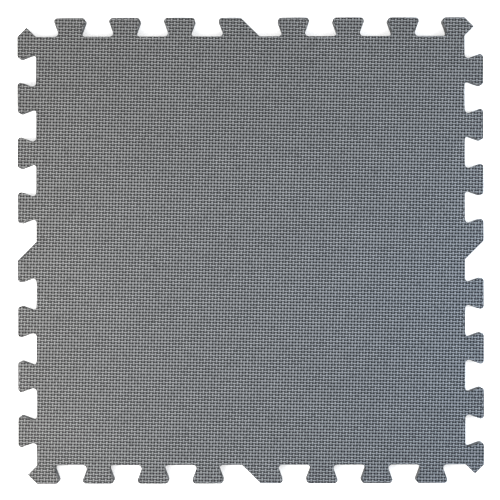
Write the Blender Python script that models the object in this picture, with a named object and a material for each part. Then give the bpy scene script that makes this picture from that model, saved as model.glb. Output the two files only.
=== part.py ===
"""Blocking mat: one interlocking foam tile that covers 12 in of a larger joined mat.

The tile is a pressed foam sheet with a dense skin on each face, cut right through by one die,
so its three layers share one outline. The outline repeats at every quarter turn. Each side is
point-symmetric about its middle, so any side locks into any side of a second mat.

Metres, +Z up. The origin is the middle of the underside.
"""

import math

import bmesh
import bpy
from mathutils import Matrix, Vector

# Driving dimensions
PITCH = 0.3048  # what one mat adds to a joined row: 12 in
TAB_DEPTH = 0.0127  # how far a tab reaches into the next mat: 1/2 in
THICKNESS = 0.0127  # 1/2 in
SKIN = 0.0008  # each dense skin
LAYER_GAP = 0.0003  # clearance between two layers' solids
TAB_SPACING = 0.0374  # from one tab's middle to the next
FLANK_ANGLE = math.radians(21)  # a flank's lean from the side's normal; a tab widens outwards
TAB_RADIUS = 0.0024  # a tab's outer corners, and the matching roots
CHAMFER_RADIUS = 0.0012  # the blunter corners beside the 45 degree cuts
ARC_STEPS = 4  # facets in each rounded corner

# Derived dimensions, in one side's frame: u runs along the side, v out of it
HALF_SIDE = PITCH / 2
FLOOR = HALF_SIDE - TAB_DEPTH / 2  # v of the sockets' floors
TIP = HALF_SIDE + TAB_DEPTH / 2  # v of the tabs' ends
WHOLE_TABS = 3  # in each half of a side; a half tab follows them
FIRST_TAB = (HALF_SIDE - (WHOLE_TABS - 0.5) * TAB_SPACING) / 2
LEAN = TAB_DEPTH / 2 * math.tan(FLANK_ANGLE)
ROOT_HALF_WIDTH = TAB_SPACING / 4 - LEAN
TIP_HALF_WIDTH = TAB_SPACING / 4 + LEAN


def left_flank(middle):
    """A tab's rising flank, as corners (u, v, radius)."""
    return [(middle - ROOT_HALF_WIDTH, FLOOR, TAB_RADIUS), (middle - TIP_HALF_WIDTH, TIP, TAB_RADIUS)]


def right_flank(middle):
    """A tab's falling flank."""
    return [(middle + TIP_HALF_WIDTH, TIP, TAB_RADIUS), (middle + ROOT_HALF_WIDTH, FLOOR, TAB_RADIUS)]


def half_side(start):
    """Three whole tabs and the half tab after them, on the half of a side that begins at u = start."""
    corners = []
    for number in range(WHOLE_TABS):
        middle = start + FIRST_TAB + number * TAB_SPACING
        corners += left_flank(middle) + right_flank(middle)
    corners += left_flank(start + FIRST_TAB + WHOLE_TABS * TAB_SPACING)
    corners.append((start + HALF_SIDE - TAB_DEPTH / 2, TIP, CHAMFER_RADIUS))
    return corners


def side():
    """One side's corners, from the floor beside one mat corner to the sharp point at the next."""
    corners = [(-FLOOR, FLOOR, CHAMFER_RADIUS)]
    corners += half_side(-HALF_SIDE)
    corners.append((TAB_DEPTH / 2, FLOOR, CHAMFER_RADIUS))
    corners += half_side(0)
    corners.append((HALF_SIDE, HALF_SIDE, 0))
    return corners


def rounded(before, corner, after, radius):
    """The points of one corner: the corner itself, or an arc that touches both its edges."""
    if radius == 0:
        return [corner]
    into = (before - corner).normalized()
    out = (after - corner).normalized()
    half_angle = into.angle(out) / 2
    centre = corner + (into + out).normalized() * (radius / math.sin(half_angle))
    first = corner + into * (radius / math.tan(half_angle)) - centre
    last = corner + out * (radius / math.tan(half_angle)) - centre
    sweep = first.angle_signed(last)
    turns = [-sweep * step / ARC_STEPS for step in range(ARC_STEPS + 1)]
    return [centre + Matrix.Rotation(turn, 2) @ first for turn in turns]


def outline():
    """The whole outline, clockwise from above, as points in the XY plane."""
    corners = []
    for quarter in range(4):
        turn = Matrix.Rotation(-quarter * math.pi / 2, 2)
        corners += [(turn @ Vector((u, v)), radius) for u, v, radius in side()]
    points = []
    for index, (corner, radius) in enumerate(corners):
        before = corners[index - 1][0]
        after = corners[(index + 1) % len(corners)][0]
        points += rounded(before, corner, after, radius)
    return points


def material(name, colour, roughness):
    """A plain Principled material."""
    made = bpy.data.materials.new(name)
    made.use_nodes = True
    shader = made.node_tree.nodes["Principled BSDF"]
    shader.inputs["Base Color"].default_value = (*colour, 1)
    shader.inputs["Roughness"].default_value = roughness
    shader.inputs["Metallic"].default_value = 0
    return made


def layer(name, bottom, top, points, look):
    """One layer of the sheet: the outline extruded from bottom to top."""
    shape = bmesh.new()
    rim = [shape.verts.new((point.x, point.y, 0)) for point in reversed(points)]
    face = shape.faces.new(rim)
    lifted = bmesh.ops.extrude_face_region(shape, geom=[face])["geom"]
    raised = [item for item in lifted if isinstance(item, bmesh.types.BMVert)]
    bmesh.ops.translate(shape, verts=raised, vec=(0, 0, top - bottom))
    bmesh.ops.recalc_face_normals(shape, faces=shape.faces)
    mesh = bpy.data.meshes.new(name)
    shape.to_mesh(mesh)
    shape.free()
    mesh.shade_smooth()
    mesh.set_sharp_from_angle(angle=math.radians(35))
    mesh.materials.append(look)
    made = bpy.data.objects.new(name, mesh)
    made.location.z = bottom
    bpy.context.collection.objects.link(made)
    return made


def build():
    """The three layers, stacked from the underside up."""
    for item in list(bpy.data.objects):
        bpy.data.objects.remove(item)
    points = outline()
    skin_top = THICKNESS - SKIN
    layer("bottom_skin", 0, SKIN, points, material("smooth_skin", (0.09, 0.093, 0.098), 0.7))
    layer(
        "foam_core",
        SKIN + LAYER_GAP,
        skin_top - LAYER_GAP,
        points,
        material("closed_cell_foam", (0.1, 0.103, 0.108), 0.85),
    )
    layer("textured_top_skin", skin_top, THICKNESS, points, material("woven_skin", (0.18, 0.185, 0.2), 0.6))


build()
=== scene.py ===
"""Looks of the blocking mat: its woven relief, die-cut foam edges and underside, with light and camera.

Lengths are in metres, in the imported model's frame: +Z up out of the working face, the underside on z = 0.
"""

import math

import bpy
import numpy as np
from mathutils import Euler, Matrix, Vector, noise
from mathutils.bvhtree import BVHTree
from mathutils.geometry import delaunay_2d_cdt


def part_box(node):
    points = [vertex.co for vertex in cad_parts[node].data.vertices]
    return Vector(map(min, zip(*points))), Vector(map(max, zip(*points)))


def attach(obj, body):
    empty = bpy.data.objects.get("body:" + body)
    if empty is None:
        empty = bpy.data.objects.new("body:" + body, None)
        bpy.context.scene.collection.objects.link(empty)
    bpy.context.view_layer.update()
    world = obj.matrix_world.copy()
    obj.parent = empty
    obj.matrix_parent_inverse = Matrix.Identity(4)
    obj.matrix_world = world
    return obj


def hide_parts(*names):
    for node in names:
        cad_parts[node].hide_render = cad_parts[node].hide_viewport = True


MM = 0.001

# The weave: upright and level strands cross over and under each other, as in plain cloth. Each crossing
# is a cell, and shows the strand on top as a bar. Bars are measured in cells, from the cell's middle, and
# heights are shares of the relief.
COLUMN_PITCH = 2.09 * MM
ROW_PITCH = 2.108 * MM
COLUMN_TURN = math.radians(-1.86)  # the sheet was cut slightly askew of its weave
ROW_TURN = math.radians(-0.95)
RELIEF = 0.42 * MM  # from the crests down to the pits
UPRIGHT_BAR = (0.15, 0.39)  # half the flat width and length of an upright bar
LEVEL_BAR = (0.07, 0.42)
UPRIGHT_WAIST = 0.335  # from the middle of an upright bar to the grooves at its sides
LEVEL_WAIST = 0.29
SIDE_GROOVE = 0.77  # height of the grooves at an upright bar's sides
END_GROOVE = 0.66  # height of the grooves at its ends
LOW_END = 0.84  # height of its lower end, which the painted shade in the woven skin's colour also darkens
BAR_STRAY = 0.02  # how far a bar strays from its place
POINT_STRAY = 0.015  # how far each of its points strays from that
BAR_DROP = 0.03  # how much lower some bars are
SEED = 12

# The outline
SAME_HEIGHT = 0.01 * MM  # two heights that differ by less are the same
LONGEST_FACET = 2 * MM  # an edge of the outline that is shorter than this belongs to an arc
ARC_POINTS = 3  # points for each of those facets
SKIN_STEP = 0.6 * MM  # between the points of a straight run, on the woven skin
FOAM_STEP = 1.2 * MM  # and on the other two layers

# The cut edge. Each profile goes up the wall, and says how far in it is at each height.
RIM = 0.3 * MM  # how far the woven skin's rounded edge reaches in
SKIN_FOOT = ((0.06 * MM, 0), (0, 0.1 * MM))  # its foot: distance in, height
SKIN_EDGE = ((0, 0.6), (0.07 * MM, 0.86), (0.16 * MM, 0.96), (RIM, 1))  # distance in, share of its height
WEAVE_CLEARANCE = 0.2 * MM  # between that rounding and the weave's own points
WALL_SHADE = 0.76  # the wall of the woven skin has the colour of this height in the relief
FOAM_SETBACK = 0.04 * MM  # the foam starts a little inside the skins
DISH = 0.28 * MM  # it springs back after the cut, and leaves its wall hollow
WALL_RINGS = 14  # rings of points up that wall
UNDER_EDGE = ((0.8, 0), (0.4, 0), (0.15, 0.05), (0.03, 0.2), (0, 0.4))  # distance in and height, in mm
UNDER_LIP = 0.08  # height and depth of the edge where it meets the foam, in mm
RIPPLE = 0.07 * MM  # depth of the ripples that the die leaves in every wall
RIPPLE_LENGTH = 9 * MM
RIPPLE_STRETCH = 4  # they are longer up the wall than along it
SHARP_ANGLE = math.radians(70)  # an edge that bends more than this is sharp

# Painted light: a cool cast of light on the woven skin, neutral at the left and a little cooler at the
# right, in its colour and in the colour of its reflections
LEFT_PAINTED_LIGHT = (1.02, 1.02, 1.01)
RIGHT_PAINTED_LIGHT = (0.89, 0.97, 1.08)
LEFT_PAINTED_REFLECTION = (1, 1, 1)
RIGHT_PAINTED_REFLECTION = (0.6, 0.79, 1)
TINT_REACH = 150 * MM  # from the middle to where each is pure
FADE_START = -30 * MM  # from this y up to the reach, the cooler tint fades
UPPER_SHARE = 0.4  # to this share

# The camera, straight above the mat
CAMERA_HEIGHT = 1.5
VIEW_WIDTH = 0.3405  # seen at the height of the working face
CAMERA_SHIFT = (-0.5 * MM, 0.4 * MM)
CAMERA_TURN = math.radians(-0.14)
SENSOR = 36.0  # millimetres, as Blender has it
FLOOR_REACH = 4.0
FLOOR_GAP = 0.02 * MM  # the floor lies this far below the mat, so that their faces don't coincide


# ---------------------------------------------------------------- outline


def outline_of(node):
    """The outline of a CAD layer, anticlockwise from above, as an array of points."""
    mesh = node.data
    top = max(vertex.co.z for vertex in mesh.vertices)
    following = {}
    for face in mesh.polygons:
        if abs(face.normal.z) > 0.5:
            continue
        corners = [mesh.vertices[index].co for index in face.vertices]
        for here, there in zip(corners, corners[1:] + corners[:1]):
            if min(here.z, there.z) > top - SAME_HEIGHT:
                start, end = (tuple(round(c / MM, 4) for c in corner.xy) for corner in (there, here))
                following[start] = end
    loop = [next(iter(following))]
    while following[loop[-1]] != loop[0]:
        loop.append(following[loop[-1]])
    return np.array(loop) * MM


def steps_of(loop):
    """Each edge of a closed loop, as a vector to the next point."""
    return np.roll(loop, -1, axis=0) - loop


def unit(vectors):
    return vectors / np.linalg.norm(vectors, axis=-1, keepdims=True)


def refined(loop, step):
    """The outline with its facets turned back into arcs, and its straight runs divided."""
    chords = steps_of(loop)
    lengths = np.linalg.norm(chords, axis=1)
    ways = unit(chords)
    straight = lengths > LONGEST_FACET
    points = []
    for k, start in enumerate(loop):
        after = (k + 1) % len(loop)
        if straight[k]:
            count = max(1, round(lengths[k] / step))
            points += [start + chords[k] * n / count for n in range(count)]
            continue
        into = ways[k - 1] if straight[k - 1] else unit(ways[k - 1] + ways[k])
        out = ways[after] if straight[after] else unit(ways[k] + ways[after])
        for n in range(ARC_POINTS):
            t = n / ARC_POINTS
            bend = (t**3 - 2 * t**2 + t) * into + (t**3 - t**2) * out
            points.append(start + (3 * t**2 - 2 * t**3) * chords[k] + bend * lengths[k])
    return np.array(points)


def inward(loop):
    """For each point of an anticlockwise loop, the way in, scaled so that edges move by 1."""
    ways = unit(steps_of(loop))
    normals = np.stack([-ways[:, 1], ways[:, 0]], axis=1)
    middle = unit(normals + np.roll(normals, 1, axis=0))
    return middle / np.sum(middle * normals, axis=1, keepdims=True)


def inset(loop, distance):
    return loop + inward(loop) * np.reshape(distance, (-1, 1))


def inside(points, loop):
    """Which of the points lie inside a closed loop."""
    result = np.zeros(len(points), bool)
    x, y = points[:, 0], points[:, 1]
    for (x1, y1), (x2, y2) in zip(loop, np.roll(loop, -1, axis=0)):
        crossed = (y1 > y) != (y2 > y)
        if y1 != y2:
            result ^= crossed & (x < (x2 - x1) * (y - y1) / (y2 - y1) + x1)
    return result


# ---------------------------------------------------------------- weave


def weave(reach):
    """A sheet of plain weave that covers reach each way.

    Returns its points, as (x, y, height) with the height a share of the relief; each cell's rim, as
    the numbers of 8 points; and each cell's 14 triangles.
    """
    count = 2 * math.ceil(reach * (1 + math.tan(-COLUMN_TURN)) / COLUMN_PITCH) + 3
    span = np.arange(count) - count // 2
    i, j = np.meshgrid(span, span, indexing="ij")
    upright = (i + j) % 2 == 0
    random = np.random.default_rng(SEED)

    stray_i, stray_j = random.normal(0, BAR_STRAY, (2, *i.shape))
    drop = np.abs(random.normal(0, BAR_DROP, i.shape))

    def corner(across, along):
        """A corner of each cell's bar, turned by a quarter where the bar is level."""
        x = np.where(upright, across * UPRIGHT_BAR[0], along * LEVEL_BAR[1])
        y = np.where(upright, along * UPRIGHT_BAR[1], -across * LEVEL_BAR[0])
        height = (1 - drop) * np.where(upright & (along < 0), LOW_END, 1)
        return np.stack([i + stray_i + x, j + stray_j + y, height])

    east = np.where(upright, UPRIGHT_WAIST, 1 - UPRIGHT_WAIST)
    north = np.where(upright, 1 - LEVEL_WAIST, LEVEL_WAIST)
    kinds = np.stack([
        corner(-1, -1),
        corner(1, -1),
        corner(1, 1),
        corner(-1, 1),
        np.stack([i + east, j, np.full(i.shape, SIDE_GROOVE)]),
        np.stack([i, j + north, np.full(i.shape, END_GROOVE)]),
        np.stack([i + 0.5, j + 0.5, np.zeros(i.shape)]),
    ])
    kinds[:, :2] += random.normal(0, POINT_STRAY, kinds[:, :2].shape)
    across, along, height = np.moveaxis(kinds, 1, 0)
    x = across * COLUMN_PITCH * math.cos(ROW_TURN) - along * ROW_PITCH * math.sin(COLUMN_TURN)
    y = across * COLUMN_PITCH * math.sin(ROW_TURN) + along * ROW_PITCH * math.cos(COLUMN_TURN)
    points = np.stack([x, y, height], axis=-1).reshape(-1, 3)

    numbers = np.arange(height.size).reshape(height.shape)
    here, before = slice(1, -1), slice(0, -2)
    c1, c2, c3, c4 = (numbers[kind, here, here].ravel() for kind in range(4))
    east, north, pit = numbers[4:]
    rim = [
        north[here, before],
        pit[here, before],
        east[here, here],
        pit[here, here],
        north[here, here],
        pit[before, here],
        east[before, here],
        pit[before, before],
    ]
    # A bar's own round starts at its lower end if it's upright, and at its left end if it's level
    r0, r1, r2, r3, r4, r5, r6, r7 = (
        np.where(upright[here, here], rim[k], rim[(k + 6) % 8]).ravel() for k in range(8)
    )
    faces = [
        (c1, c2, c3), (c1, c3, c4), (r0, c2, c1), (r0, r1, c2), (r1, r2, c2), (c2, r2, c3), (r2, r3, c3),
        (r3, r4, c3), (c3, r4, c4), (r4, r5, c4), (r5, r6, c4), (c4, r6, c1), (r6, r7, c1), (r7, r0, c1),
    ]  # fmt: skip
    rims = np.stack([side.ravel() for side in rim], axis=1)
    return points, rims, np.stack([np.stack(face, axis=1) for face in faces], axis=1)


def whole_cells(points, rims, limit):
    """Which cells lie inside the limit, leaving out those that would meet others at one point only."""
    within = inside(points[:, :2], limit)
    kept = within[rims].all(axis=1)
    while True:
        edges = np.stack([rims[kept], np.roll(rims[kept], -1, axis=1)], axis=2).reshape(-1, 2)
        pairs, uses = np.unique(np.sort(edges, axis=1), axis=0, return_counts=True)
        meetings = np.bincount(pairs[uses == 1].ravel(), minlength=len(points))
        crowded = (meetings > 2)[rims].any(axis=1) & kept
        if not crowded.any():
            return kept
        kept &= ~crowded


def border_loops(rims):
    """The loops round a set of cells, anticlockwise outside and clockwise round any hole."""
    ways = {}
    for rim in rims.tolist():
        for here, there in zip(rim, rim[1:] + rim[:1]):
            if ways.get(there) is not None and here in ways[there]:
                ways[there].remove(here)
            else:
                ways.setdefault(here, []).append(there)
    following = {here: there[0] for here, there in ways.items() if there}
    loops = []
    while following:
        loop = [next(iter(following))]
        while following[loop[-1]] != loop[0]:
            loop.append(following[loop[-1]])
        for here in loop:
            del following[here]
        loops.append(loop)
    return loops


def edges_of(triangles):
    """Each edge of some triangles once."""
    ends = np.concatenate([triangles[:, [0, 1]], triangles[:, [1, 2]], triangles[:, [2, 0]]])
    return np.unique(np.sort(ends, axis=1), axis=0)


def filled(points, outer, holes=(), edges=()):
    """Triangles that fill the outer loop, leave out the holes, and keep the edges.

    points is (n, 2); outer, holes and edges hold rows of it, and so do the triangles.
    """
    loops = [outer, *holes]
    used = sorted({p for group in (*loops, *edges) for p in group})
    place = {p: n for n, p in enumerate(used)}
    coords = [Vector(points[p] / MM) for p in used]
    kept = [[place[p] for p in edge] for edge in edges]
    faces = [[place[p] for p in loop] for loop in loops]
    inside_only = 1
    tolerance = 1e-6
    found = delaunay_2d_cdt(coords, kept, faces, inside_only, tolerance, True)
    _, _, triangles, sources, _, origins = found
    return [
        [used[sources[corner][0]] for corner in triangle]
        for triangle, origin in zip(triangles, origins)
        if origin and max(origin) == 0
    ]


# ---------------------------------------------------------------- pieces


def piece(name, points, faces, look):
    """A mesh object from an array of points and a list of faces.

    Each point is (x, y, z), or (x, y, z, relief) with the height in the relief that colours it.
    """
    used = np.unique(np.concatenate([np.asarray(face) for face in faces]))
    place = np.full(len(points), -1)
    place[used] = np.arange(len(used))
    mesh = bpy.data.meshes.new(name)
    mesh.from_pydata(points[used, :3].tolist(), [], [place[face].tolist() for face in faces])
    if points.shape[1] > 3:
        mesh.attributes.new("relief", "FLOAT", "POINT").data.foreach_set("value", points[used, 3])
    mesh.shade_smooth()
    mesh.set_sharp_from_angle(angle=SHARP_ANGLE)
    mesh.materials.append(look)
    made = bpy.data.objects.new(name, mesh)
    bpy.context.collection.objects.link(made)
    return made


def ring_faces(below, above):
    """The faces between two rings of the same length, given as lists of point numbers."""
    return [[below[k - 1], below[k], above[k], above[k - 1]] for k in range(len(below))]


def wave(loop, heights):
    """A smooth random number for each point of a wall, between -1 and 1."""
    places = [Vector((x, y, z / RIPPLE_STRETCH)) / RIPPLE_LENGTH for (x, y), z in zip(loop, heights)]
    return np.array([noise.noise(place) for place in places])


def wall(loop, rings):
    """Rings of points up a wall. rings holds (distance in, z, ...) for each, as numbers or arrays."""
    level = []
    for distance, *columns in rings:
        columns = [np.broadcast_to(column, len(loop)) for column in columns]
        ripple = RIPPLE * (0.5 + 0.5 * wave(loop, columns[0]))
        level.append(np.column_stack([inset(loop, distance + ripple), *columns]))
    return np.concatenate(level)


def stacked(loop, rings):
    """Points and side faces of a wall, with the numbers of its lowest and highest ring."""
    points = wall(loop, rings)
    numbers = np.arange(len(points)).reshape(len(rings), -1).tolist()
    faces = [face for low, high in zip(numbers, numbers[1:]) for face in ring_faces(low, high)]
    return points, faces, numbers[0], numbers[-1]


def flat_cap(points, ring, faces, up):
    """Adds a flat face of triangles inside a ring."""
    for triangle in filled(points[:, :2], ring):
        faces.append(triangle if up else triangle[::-1])


def top_skin(cad_loop, low, top, look):
    """The embossed skin: the weave, cut by the outline, with a softly rounded edge."""
    weave_points, rims, cells = weave(np.abs(cad_loop).max())
    limit = inset(cad_loop, RIM + WEAVE_CLEARANCE)
    kept = whole_cells(weave_points, rims, limit)
    holes = border_loops(rims[kept])
    usable = inside(weave_points[:, :2], limit)
    edges = edges_of(cells[~kept].reshape(-1, 3))
    middles = weave_points[edges, :2].mean(axis=1)
    edges = edges[usable[edges].all(axis=1) & inside(middles, limit)]

    x, y, height = weave_points.T
    sheet_points = np.stack([x, y, top - RELIEF * (1 - height), height], axis=1)
    sheet = BVHTree.FromPolygons(sheet_points[:, :3].tolist(), cells.reshape(-1, 3).tolist())
    loop = refined(cad_loop, SKIN_STEP)
    down = Vector((0, 0, -1))
    crest_z = np.array([sheet.ray_cast(Vector((x, y, 1)), down)[0].z for x, y in inset(loop, RIM)])
    crest = 1 - (top - crest_z) / RELIEF
    rings = [(distance, low + height, WALL_SHADE) for distance, height in SKIN_FOOT]
    for distance, share in SKIN_EDGE:
        rings.append((distance, low + share * (crest_z - low), WALL_SHADE + share * (crest - WALL_SHADE)))
    side, faces, bottom, edge = stacked(loop, rings)

    start = len(side)
    points = np.concatenate([side, sheet_points])
    holes = [[p + start for p in hole] for hole in holes]
    faces += filled(points[:, :2], edge, holes, (edges + start).tolist())
    faces += (cells[kept].reshape(-1, 3) + start).tolist()
    flat_cap(points, bottom, faces, up=False)
    return piece("woven_top_skin", points, faces, look)


def foam_body(cad_loop, low, top, look):
    """The foam between the skins, its cut wall slightly hollow."""
    loop = refined(cad_loop, FOAM_STEP)
    rings = []
    for n in range(WALL_RINGS):
        share = n / (WALL_RINGS - 1)
        rings.append((DISH * (1 - (2 * share - 1) ** 2) + FOAM_SETBACK, low + share * (top - low)))
    points, faces, bottom, edge = stacked(loop, rings)
    flat_cap(points, bottom, faces, up=False)
    flat_cap(points, edge, faces, up=True)
    return piece("cut_foam_body", points, faces, look)


def under_skin(cad_loop, top, look):
    """The smooth skin that lies on the floor."""
    loop = refined(cad_loop, FOAM_STEP)
    profile = [*UNDER_EDGE, (0, top / MM - UNDER_LIP), (UNDER_LIP, top / MM)]
    points, faces, bottom, edge = stacked(loop, [(distance * MM, z * MM) for distance, z in profile])
    flat_cap(points, bottom, faces, up=False)
    flat_cap(points, edge, faces, up=True)
    return piece("smooth_under_skin", points, faces, look)


# ---------------------------------------------------------------- materials


class Look:
    """A small helper that builds one material's node tree."""

    def __init__(self, name):
        self.material = bpy.data.materials.new(name)
        self.material.use_nodes = True
        self.tree = self.material.node_tree
        self.shader = self.tree.nodes["Principled BSDF"]

    def node(self, kind, inputs=(), **settings):
        made = self.tree.nodes.new(kind)
        for key, value in settings.items():
            setattr(made, key, value)
        for key, value in dict(inputs).items():
            self.feed(made.inputs[key], value)
        return made

    def feed(self, socket, value):
        if isinstance(value, bpy.types.NodeSocket):
            self.tree.links.new(value, socket)
        else:
            socket.default_value = value

    def set(self, **values):
        for key, value in values.items():
            self.feed(self.shader.inputs[key.replace("_", " ")], value)

    def place(self):
        return self.node("ShaderNodeTexCoord").outputs["Object"]

    def noise(self, size, detail=2.0, place=None):
        """Noise whose features are about size across."""
        inputs = {"Vector": place or self.place(), "Scale": 1 / size, "Detail": detail}
        return self.node("ShaderNodeTexNoise", inputs).outputs["Fac"]

    def cells(self, size, feature="F1"):
        """The distance from the middle of the nearest of many cells, about size across."""
        inputs = {"Vector": self.place(), "Scale": 1 / size}
        return self.node("ShaderNodeTexVoronoi", inputs, feature=feature).outputs["Distance"]

    def ramp(self, value, stops):
        """A grey that follows the (position, brightness) stops."""
        made = self.node("ShaderNodeValToRGB", {"Fac": value})
        elements = made.color_ramp.elements
        while len(elements) < len(stops):
            elements.new(0.5)
        for element, (position, grey) in zip(elements, stops):
            element.position = position
            element.color = (grey, grey, grey, 1)
        return made.outputs["Color"]

    def spread(self, value, low, high, start=0.0, end=1.0):
        """A value from start to end, spread over low to high."""
        inputs = {"Value": value, "From Min": start, "From Max": end, "To Min": low, "To Max": high}
        return self.node("ShaderNodeMapRange", inputs).outputs["Result"]

    def mixed(self, share, first, second, blend="MIX"):
        """Two colours mixed. A Mix node takes them at its sockets 6 and 7, and gives a colour at 2."""
        inputs = {"Factor": share, 6: first, 7: second}
        return self.node("ShaderNodeMix", inputs, data_type="RGBA", blend_type=blend).outputs[2]

    def painted_light_drift(self, left, right):
        """Painted light: a colour that changes from left to right across the mat, and less so near its
        upper edge.
        """
        place = self.node("ShaderNodeSeparateXYZ", {0: self.place()})
        across = self.spread(place.outputs["X"], 0.0, 1.0, -TINT_REACH, TINT_REACH)
        fade = self.spread(place.outputs["Y"], 1.0, UPPER_SHARE, FADE_START, TINT_REACH)
        return self.mixed(self.times(across, fade), (*left, 1), (*right, 1))

    def tinted(self, colour, factor):
        """A colour times a number."""
        return self.mixed(1.0, colour, factor, "MULTIPLY")

    def times(self, *values):
        product, *others = values
        for value in others:
            product = self.node("ShaderNodeMath", {0: product, 1: value}, operation="MULTIPLY").outputs[0]
        return product

    def bump(self, height, depth, strength=1.0, below=None):
        inputs = {"Height": height, "Distance": depth, "Strength": strength}
        if below is not None:
            inputs["Normal"] = below
        return self.node("ShaderNodeBump", inputs).outputs["Normal"]


def woven_look():
    """Matte pressed foam, dull, its colour set by the height in its relief: painted shade makes the pits
    and grooves near black, and painted highlight makes the crests palest.
    """
    look = Look("woven_skin")
    height = look.node("ShaderNodeAttribute", attribute_name="relief").outputs["Fac"]
    # Painted shade and highlight: near black in the pits and grooves, palest on the crests, by the height
    # in the relief
    shade = look.ramp(height, [(0, 0.001), (0.38, 0.0015), (0.55, 0.011), (0.75, 0.057), (1, 0.215)])
    strand = look.spread(look.noise(1.6 * MM, 1), 0.86, 1.14)
    cloudy = look.spread(look.noise(45 * MM, 3), 0.93, 1.07)
    # Painted light: the colour turns cooler towards the right
    tint = look.painted_light_drift(LEFT_PAINTED_LIGHT, RIGHT_PAINTED_LIGHT)
    look.set(Base_Color=look.tinted(tint, look.times(shade, strand, cloudy)))
    # Painted reflection: the gloss is tinted cooler towards the right
    look.set(Specular_Tint=look.painted_light_drift(LEFT_PAINTED_REFLECTION, RIGHT_PAINTED_REFLECTION))
    look.set(Roughness=look.spread(look.noise(0.5 * MM), 0.5, 0.72))
    look.set(Normal=look.bump(look.noise(0.22 * MM, 3), 0.03 * MM))
    look.set(Specular_IOR_Level=0.25)
    return look.material


def cut_look():
    """Foam laid open by the die: small closed cells, cut to cups, and faint upright marks."""
    look = Look("cut_foam")
    cells = look.cells(0.3 * MM)
    drawn = look.node("ShaderNodeMapping", {"Vector": look.place(), "Scale": (1, 1, 0.08)})
    marks = look.noise(0.9 * MM, 2, drawn.outputs["Vector"])
    cloudy = look.spread(look.noise(2.5 * MM, 3), 0.85, 1.15)
    # Painted shade: the cut cells are darkest at the bottom of each cup and palest at its rim; the marks
    # and the cloudy noise are the foam's own mottle
    shade = look.times(look.spread(cells, 0.68, 1.3), look.spread(marks, 0.9, 1.1), cloudy)
    look.set(Base_Color=look.tinted((0.087, 0.09, 0.093, 1), shade))
    look.set(Roughness=look.spread(marks, 0.78, 0.95))
    upright = look.bump(marks, 0.05 * MM)
    look.set(Normal=look.bump(cells, 0.1 * MM, 0.8, upright))
    look.set(Specular_IOR_Level=0.3)
    return look.material


def under_look():
    """The plain pressed skin of the underside, finely pebbled."""
    look = Look("smooth_skin")
    grain = look.cells(MM, "SMOOTH_F1")
    cloudy = look.spread(look.noise(30 * MM, 4), 0.88, 1.12)
    shade = look.times(cloudy, look.spread(grain, 1.25, 0.7))
    look.set(Base_Color=look.tinted((0.085, 0.088, 0.092, 1), shade))
    look.set(Roughness=look.spread(look.noise(4 * MM), 0.6, 0.78))
    look.set(Normal=look.bump(grain, 0.25 * MM))
    look.set(Specular_IOR_Level=0.35)
    return look.material


def floor_look():
    """Matte white studio paper."""
    look = Look("white_floor")
    look.set(Base_Color=(0.9, 0.9, 0.9, 1), Roughness=0.9)
    look.set(Emission_Color=(1, 1, 1, 1), Emission_Strength=0.46)
    return look.material


# ---------------------------------------------------------------- studio


def soft_light(name, place, size, power, colour):
    """A square light that faces the mat."""
    data = bpy.data.lights.new(name, "AREA")
    data.shape = "SQUARE"
    data.size = size
    data.energy = power
    data.color = colour
    made = bpy.data.objects.new(name, data)
    made.location = place
    made.rotation_euler = (-Vector(place)).to_track_quat("-Z", "Y").to_euler()
    bpy.context.collection.objects.link(made)


def studio(top):
    """The floor, the light and the camera."""
    mesh = bpy.data.meshes.new("floor")
    signs = [(-1, -1), (1, -1), (1, 1), (-1, 1)]
    mesh.from_pydata([(x * FLOOR_REACH, y * FLOOR_REACH, 0) for x, y in signs], [], [(0, 1, 2, 3)])
    mesh.materials.append(floor_look())
    floor = bpy.data.objects.new("floor", mesh)
    floor.location.z = -FLOOR_GAP
    bpy.context.collection.objects.link(floor)

    world = bpy.data.worlds.new("studio")
    bpy.context.scene.world = world
    world.use_nodes = True
    world.node_tree.nodes["Background"].inputs["Color"].default_value = (1, 1, 1, 1)
    world.node_tree.nodes["Background"].inputs["Strength"].default_value = 1.0

    soft_light("key", place=(-0.33, -0.13, 0.44), size=0.45, power=4.33, colour=(1, 0.98, 0.96))
    soft_light("fill", place=(0.42, 0.01, 0.32), size=0.3, power=2.4, colour=(0.76, 0.87, 1))
    bpy.context.scene.view_settings.view_transform = "Standard"

    data = bpy.data.cameras.new("camera")
    data.sensor_width = SENSOR
    data.lens = SENSOR * (CAMERA_HEIGHT - top) / VIEW_WIDTH
    camera = bpy.data.objects.new("camera", data)
    camera.location = (*CAMERA_SHIFT, CAMERA_HEIGHT)
    camera.rotation_euler = Euler((0, 0, CAMERA_TURN))
    bpy.context.collection.objects.link(camera)
    bpy.context.scene.camera = camera


# ---------------------------------------------------------------- the mat


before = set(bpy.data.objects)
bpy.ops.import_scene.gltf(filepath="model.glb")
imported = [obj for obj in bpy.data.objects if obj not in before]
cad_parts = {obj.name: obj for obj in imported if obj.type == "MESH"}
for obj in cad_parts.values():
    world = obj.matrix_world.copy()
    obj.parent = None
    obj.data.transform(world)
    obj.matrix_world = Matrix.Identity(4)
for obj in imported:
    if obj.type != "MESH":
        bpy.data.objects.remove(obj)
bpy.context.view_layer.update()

skin_low, skin_top = (corner.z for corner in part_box("textured_top_skin"))
under_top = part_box("bottom_skin")[1].z
outline = outline_of(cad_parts["textured_top_skin"])

layers = [
    (top_skin(outline, skin_low, skin_top, woven_look()), "textured_top_skin", "woven_skin"),
    (foam_body(outline, under_top, skin_low, cut_look()), "foam_core", "closed_cell_foam"),
    (under_skin(outline, under_top, under_look()), "bottom_skin", "smooth_skin"),
]
for layer, node, slot in layers:
    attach(layer, "root")
    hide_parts(node)
studio(skin_top)
